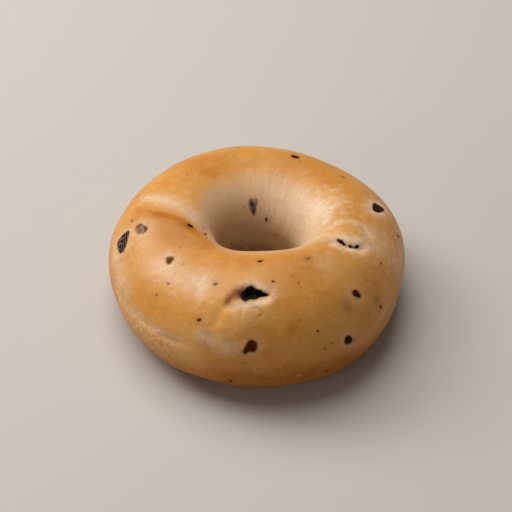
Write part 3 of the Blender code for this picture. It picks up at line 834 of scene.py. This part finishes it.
def add_lump(lump, tree, place, outline, recess, dome, wrinkle, ribs, rings, material_index=0):
    """A closed lump that fills an outline on the crust, wrinkled or ribbed on top."""
    local = lump.verts.layers.float_vector["local"]
    middle = outline.mean(axis=0)
    spokes = len(outline)
    angles = [2 * math.pi * k / spokes for k in range(spokes)]
    reach = [ray_reach(outline, middle, angle) for angle in angles]
    size = max(reach)

    def vertex(angle, distance, z):
        x, y = middle[0] + math.cos(angle) * distance, middle[1] + math.sin(angle) * distance
        made = lump.verts.new(place @ Vector((x, y, surface_height(tree, place, x, y) + z)))
        made[local] = (x / MM, y / MM, distance / size)
        return made

    def top(angle, reached, share):
        x, y = math.cos(angle) * reached * share, math.sin(angle) * reached * share
        folds = noise.fractal(Vector((x, y, place.translation.x)) / WRINKLE_SCALE, 0.9, 2.0, 3)
        ridge = ribs * math.sin(rib_phase(x / MM, y / MM)) if ribs else 0
        return -recess + dome * (1 - share**2) + (folds * wrinkle + ridge) * (1 - share**6)

    loops = []
    for share in np.linspace(1 / rings, 1, rings):
        loops.append([vertex(a, r * share, top(a, r, share)) for a, r in zip(angles, reach)])
    loops.append([vertex(a, r + LUMP_FLARE, -recess - SIDE_DEPTH) for a, r in zip(angles, reach)])
    loops.append([vertex(a, r * 0.5, -recess - BOTTOM_DEPTH) for a, r in zip(angles, reach)])
    faces = []
    for inner, outer in zip(loops, loops[1:]):
        for k in range(spokes):
            n = (k + 1) % spokes
            faces.append(lump.faces.new((inner[k], outer[k], outer[n], inner[n])))
    crown, root = vertex(0, 0, top(0, 0, 0)), vertex(0, 0, -recess - ROOT_DEPTH)
    for k in range(spokes):
        n = (k + 1) % spokes
        faces.append(lump.faces.new((crown, loops[0][k], loops[0][n])))
        faces.append(lump.faces.new((root, loops[-1][n], loops[-1][k])))
    for face in faces:
        face.material_index = material_index


def rib_phase(x, y):
    """Phase of the ribs of a dried berry, which meet in arrows along its length."""
    along = x * RIB_AXIS[0] + y * RIB_AXIS[1]
    across = y * RIB_AXIS[0] - x * RIB_AXIS[1]
    slanted = max(slant * (across - RIB_MIDDLE) for slant in RIB_SLANTS)
    return 2 * math.pi * (along - slanted) / RIB_PITCH


def new_lump():
    lump = bmesh.new()
    lump.verts.layers.float_vector.new("local")
    return lump


def finish_lump(lump, name):
    bmesh.ops.recalc_face_normals(lump, faces=lump.faces)
    return link(finish_mesh(lump, name), name)


def fruit_piece(name, fruit, tree):
    lump = new_lump()
    ribs = RIB_HEIGHT if fruit.look == "ribbed_berry" else 0
    add_lump(lump, tree, surface_frame(fruit.bearing, fruit.roll), fruit_outline(fruit),
             fruit.recess * MM, FRUIT_DOME, FRUIT_WRINKLE, ribs, FRUIT_RINGS)
    return finish_lump(lump, name + "_skin")


def all_specks():
    """The specks that show, and then the strewn ones."""
    chance = random.Random(SPECK_SEED)
    strewn = [Speck(chance.uniform(*HIDDEN_BEARINGS), chance.uniform(*HIDDEN_ROLLS),
                    chance.uniform(*HIDDEN_LENGTHS), chance.uniform(*HIDDEN_WIDTHS),
                    chance.uniform(0, 180), chance.choice(HIDDEN_LOOKS))
              for _ in range(HIDDEN_SPECKS)]
    return list(SPECKS) + strewn


def specks_piece(tree):
    """Every speck, as one mesh with a material for each look."""
    lump = new_lump()
    for index, speck in enumerate(all_specks()):
        place = surface_frame(speck.bearing, speck.roll)
        turn = math.radians(speck.turn)
        corners = []
        for k in range(SPECK_SPOKES):
            angle = 2 * math.pi * k / SPECK_SPOKES
            x, y = math.cos(angle), math.sin(angle)
            grown = 1 + SPECK_UNEVENNESS * noise.noise(Vector((x, y, index * 1.7)))
            x, y = x * speck.length / 2 * grown, y * speck.width / 2 * grown
            corners.append((x * math.cos(turn) - y * math.sin(turn),
                            x * math.sin(turn) + y * math.cos(turn)))
        add_lump(lump, tree, place, np.array(corners) * MM, SPECK_RECESS, SPECK_DOME,
                 SPECK_DOME / 2, 0, SPECK_RINGS, SPECK_LOOKS.index(speck.look))
    return finish_lump(lump, "specks")


def node(tree, kind, inputs=None, **settings):
    """A node whose inputs are values or the sockets that feed them."""
    made = tree.nodes.new("ShaderNode" + kind)
    for name, value in settings.items():
        setattr(made, name, value)
    for name, value in (inputs or {}).items():
        if isinstance(value, bpy.types.NodeSocket):
            tree.links.new(value, made.inputs[name])
        else:
            made.inputs[name].default_value = value
    return made


def clouds(tree, where, scale, detail=3):
    """Soft noise from 0 to 1, round 0.5."""
    return node(tree, "TexNoise", {"Vector": where, "Scale": scale, "Detail": detail}).outputs[0]


def remap(tree, value, low, high, to_low=0, to_high=1):
    ends = {"Value": value, "From Min": low, "From Max": high, "To Min": to_low, "To Max": to_high}
    return node(tree, "MapRange", ends).outputs[0]


def maths(tree, operation, *values):
    """One operation on numbers and sockets."""
    return node(tree, "Math", dict(enumerate(values)), operation=operation).outputs[0]


def times(tree, first, second):
    return maths(tree, "MULTIPLY", first, second)


def cells(tree, where, scale):
    """How far each point is from the middle of its cell, for cells that fill space."""
    return node(tree, "TexVoronoi", {"Vector": where, "Scale": scale}).outputs["Distance"]


def blend(tree, amount, first, second, blend_type="MIX"):
    """One colour blended into another; either may be a fixed colour."""
    inputs = {0: amount}
    for index, colour in ((6, first), (7, second)):
        inputs[index] = (*colour, 1) if isinstance(colour, tuple) else colour
    return node(tree, "Mix", inputs, data_type="RGBA", blend_type=blend_type).outputs[2]


def attribute(tree, name, output="Fac"):
    return node(tree, "Attribute", attribute_name=name).outputs[output]


def new_material(name, roughness):
    made = bpy.data.materials.new(name)
    made.use_nodes = True
    shader = made.node_tree.nodes["Principled BSDF"]
    shader.inputs["Roughness"].default_value = roughness
    return made, made.node_tree, shader


def crust_material():
    made, tree, shader = new_material("crust", CRUST_ROUGHNESS)
    shader.inputs["Specular IOR Level"].default_value = CRUST_SHINE
    place = node(tree, "TexCoord").outputs["Object"]
    broad, mottle, grain = (clouds(tree, place, scale) for scale in CLOUD_SCALES)
    around = attribute(tree, "around", "Vector")
    along_roll = node(tree, "Mapping", {"Vector": around, "Scale": STREAK_SCALES}).outputs[0]
    streaks = clouds(tree, along_roll, 1.0, 4)
    hollow = attribute(tree, "hollow")
    colour = blend(tree, remap(tree, broad, 0.42, 0.66, 0, 0.7), GOLD, AMBER)
    colour = blend(tree, remap(tree, mottle, 0.48, 0.75, 0, 0.4), colour, STRAW)
    colour = blend(tree, times(tree, hollow, remap(tree, streaks, 0.3, 0.6, 0.85, 1)), colour, HOLLOW)
    # Painted shade deep in the hole.
    colour = blend(tree, attribute(tree, "deep"), colour, DEEP_SHADE)
    streaked = times(tree, attribute(tree, "streaked"), remap(tree, streaks, 0.44, 0.7, 0, 0.42))
    streaked = times(tree, streaked, remap(tree, mottle, 0.3, 0.62, 0.35, 1))
    colour = blend(tree, streaked, colour, PALE)
    for tint, tint_colour, least in LAID_TINTS:
        amount = times(tree, attribute(tree, tint), remap(tree, mottle, 0.35, 0.65, least, 1.1))
        colour = blend(tree, amount, colour, tint_colour)
    freckles = times(tree, remap(tree, cells(tree, place, FRECKLE_SCALE), 0.05, 0.15, 0.55, 0),
                     remap(tree, broad, 0.48, 0.6))
    colour = blend(tree, freckles, colour, FRECKLE)
    off_middle = cells(tree, place, BUBBLE_SCALE)
    blistered = attribute(tree, "blistered")
    # Painted shade darkens the gaps between the bubbles, and painted glints lighten the bubbles.
    shade_between_bubbles = times(tree, remap(tree, off_middle, 0.3, 0.62, 0, 0.42), blistered)
    bubbles = times(tree, remap(tree, off_middle, 0.12, 0.42, 1, 0), remap(tree, mottle, 0.34, 0.54))
    bubbles = times(tree, bubbles, blistered)
    colour = blend(tree, shade_between_bubbles, colour, TOASTED_AND_SHADE)
    colour = blend(tree, times(tree, bubbles, 0.5), colour, PALE)
    colour = blend(tree, 1.0, colour, remap(tree, grain, 0.25, 0.75, 0.9, 1.09), "MULTIPLY")
    tree.links.new(colour, shader.inputs["Base Color"])
    tree.links.new(remap(tree, mottle, 0.3, 0.7, *ROUGHNESS_ENDS), shader.inputs["Roughness"])
    height = maths(tree, "ADD", times(tree, mottle, 1.5), grain)
    height = maths(tree, "MULTIPLY_ADD", bubbles, 1.6, height)
    bump = node(tree, "Bump", {"Height": height, "Strength": BUMP_STRENGTH, "Distance": BUMP_DEPTH})
    tree.links.new(bump.outputs[0], shader.inputs["Normal"])
    return made


def fruit_material(name):
    look = LOOKS[name]
    made, tree, shader = new_material(name, look.roughness)
    shader.inputs["Specular IOR Level"].default_value = look.shine
    place = node(tree, "TexCoord").outputs["Object"]
    patches = clouds(tree, place, 850)
    start = 0.68 - 0.36 * look.lit
    colour = blend(tree, remap(tree, patches, start, start + 0.12), look.deep, look.light)
    if look.marks:
        local = attribute(tree, "local", "Vector")
        x, y = node(tree, "SeparateXYZ", {0: local}).outputs[:2]
    if look.marks == "tail":
        colour = blend(tree, remap(tree, x, -4.8, -2.6, 1, 0), colour, TAIL)
    if look.marks == "patch":
        edge = maths(tree, "MAXIMUM", remap(tree, y, 0.5, 1.1), remap(tree, x, -1.1, -1.8))
        browned = times(tree, edge, remap(tree, patches, 0.34, 0.46))
        colour = blend(tree, browned, colour, CRUMB_BROWN)
    if look.marks == "soft":
        core = maths(tree, "MINIMUM", *(far_from(tree, local, *spot) for spot in SMOKY_CORES))
        ragged = dot(tree, core, patches, 1, 3)
        colour = blend(tree, remap(tree, ragged, 1.8, 3.2), colour, SMOKE)
    if look.marks == "gap":
        colour = blend(tree, remap(tree, far_from(tree, local, 0.7, 0.1), 0.3, 0.8), SMOKE, colour)
    if look.marks == "ribs":
        along = dot(tree, x, y, RIB_AXIS[0], RIB_AXIS[1])
        across = dot(tree, x, y, -RIB_AXIS[1], RIB_AXIS[0])
        across = maths(tree, "SUBTRACT", across, RIB_MIDDLE)
        slanted = maths(tree, "MAXIMUM", *(times(tree, across, slant) for slant in RIB_SLANTS))
        turns = 2 * math.pi / RIB_PITCH
        wave = maths(tree, "SINE", dot(tree, along, slanted, turns, -turns))
        worn = times(tree, remap(tree, wave, 0.1, 0.85), remap(tree, patches, 0.3, 0.52, 0.15, 1))
        colour = blend(tree, worn, look.deep, look.light)
    tree.links.new(colour, shader.inputs["Base Color"])
    return made


def far_from(tree, local, x, y):
    """How far along a piece is from a place on it, in millimetres."""
    flat = node(tree, "Mapping", {"Vector": local, "Location": (-x, -y, 0), "Scale": (1, 1, 0)})
    return node(tree, "VectorMath", {0: flat.outputs[0]}, operation="LENGTH").outputs["Value"]


def dot(tree, x, y, x_factor, y_factor):
    """X and Y, each times its factor, added."""
    return maths(tree, "MULTIPLY_ADD", x, x_factor, times(tree, y, y_factor))


def lamp(spec):
    data = bpy.data.lights.new(spec.name, "AREA")
    data.shape = "DISK"
    data.size = spec.size
    data.energy = spec.power
    data.color = spec.colour
    made = link(data, spec.name)
    around, up = math.radians(spec.bearing), math.radians(spec.elevation)
    towards = Vector((math.cos(around) * math.cos(up), math.sin(around) * math.cos(up), math.sin(up)))
    made.location = towards * spec.distance
    made.rotation_euler = towards.to_track_quat("Z", "Y").to_euler()


def camera():
    data = bpy.data.cameras.new("camera")
    data.lens = LENS_MM
    data.sensor_width = SENSOR_MM
    data.shift_x = SHIFT_X
    data.shift_y = SHIFT_Y
    made = link(data, "camera")
    tilt = math.radians(CAMERA_ELEVATION)
    back = Vector((0, -math.cos(tilt), math.sin(tilt)))
    aim = Vector((RING_CENTRE_X, RING_CENTRE_Y, AIM_HEIGHT))
    made.location = aim + back * CAMERA_DISTANCE
    made.rotation_euler = back.to_track_quat("Z", "Y").to_euler()
    bpy.context.scene.camera = made


def floor():
    mesh = bpy.data.meshes.new("floor")
    half = FLOOR_SIZE / 2
    mesh.from_pydata([(-half, -half, 0), (half, -half, 0), (half, half, 0), (-half, half, 0)], [],
                     [(0, 1, 2, 3)])
    material, _, shader = new_material("floor", 0.7)
    shader.inputs["Base Color"].default_value = (*FLOOR_COLOUR, 1)
    mesh.materials.append(material)
    link(mesh, "floor")


def sky():
    world = bpy.data.worlds.new("sky")
    world.use_nodes = True
    background = world.node_tree.nodes["Background"]
    background.inputs["Color"].default_value = (*SKY_COLOUR, 1)
    background.inputs["Strength"].default_value = SKY_STRENGTH
    bpy.context.scene.world = world


def build():
    mesh, tree = crust_mesh()
    crust = link(mesh, "crust")
    mesh.materials.append(crust_material())
    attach(crust, "root")
    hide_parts("bagel")
    materials = {name: fruit_material(name) for name in LOOKS}
    for name, fruit in FRUITS.items():
        piece = fruit_piece(name, fruit, tree)
        piece.data.materials.append(materials[fruit.look])
        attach(piece, "root")
        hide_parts(name)
    specks = specks_piece(tree)
    for name in SPECK_LOOKS:
        specks.data.materials.append(materials[name])
    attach(specks, "root")


build()
floor()
sky()
for spec in LAMPS:
    lamp(spec)
camera()
bpy.context.scene.view_settings.view_transform = "Standard"
